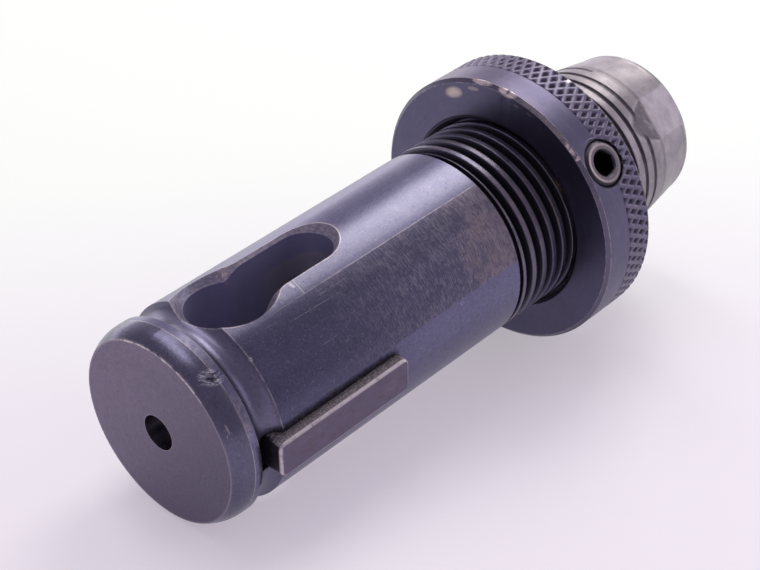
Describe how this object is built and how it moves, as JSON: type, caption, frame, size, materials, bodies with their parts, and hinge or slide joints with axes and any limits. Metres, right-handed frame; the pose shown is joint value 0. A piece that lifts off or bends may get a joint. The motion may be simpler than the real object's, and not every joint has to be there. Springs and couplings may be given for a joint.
{
  "type": "morse taper adapter",
  "caption": "Straight keyed shank adapter with a drift slot, a taper socket in its threaded nose and a knurled adjusting nut locked by a set screw.",
  "frame": {"origin": "centre of the flat tail face, on the axis of the shank", "axes": "+X along the axis from the tail face to the nose, +Z out through the drift slot, and the drive key towards -Y"},
  "size_m": [0.0932, 0.0394, 0.0394],
  "materials": {
    "hardened_steel": "worn blackened steel, ground and handled, with bare metal on edges and on the turned nose",
    "key_steel": "brownish black steel with worn bright edges",
    "nut_steel": "blackened steel, smooth in front and diamond knurled behind",
    "black_steel": "black oxide with a bright chamfer",
    "plug_brass": "plain turned brass"
  },
  "bodies": {
    "adapter": {"adapter_body": "hardened_steel", "drive_key": "key_steel"},
    "nut": {"adjusting_nut": "nut_steel"},
    "plug": {"thread_plug": "plug_brass"},
    "screw": {"set_screw": "black_steel"}
  },
  "joints": [
    {"name": "nut_travel", "type": "slide", "parent": "adapter", "child": "nut", "axis": [1, 0, 0], "range_m": [-0.01, 0.0125]},
    {"name": "plug_press", "type": "slide", "parent": "nut", "child": "plug", "axis": [0, -0.8151, 0.5793], "range_m": [0, 0.0019]},
    {"name": "screw_turn", "type": "hinge", "parent": "plug", "child": "screw", "pos_m": [0.0664, -0.01426, 0.01014], "axis": [0, -0.8151, 0.5793], "range_deg": [0, 540]}
  ],
  "couplings": [
    {"joint": "screw_turn", "follows": "plug_press", "rad_per_m": 4947.4}
  ]
}
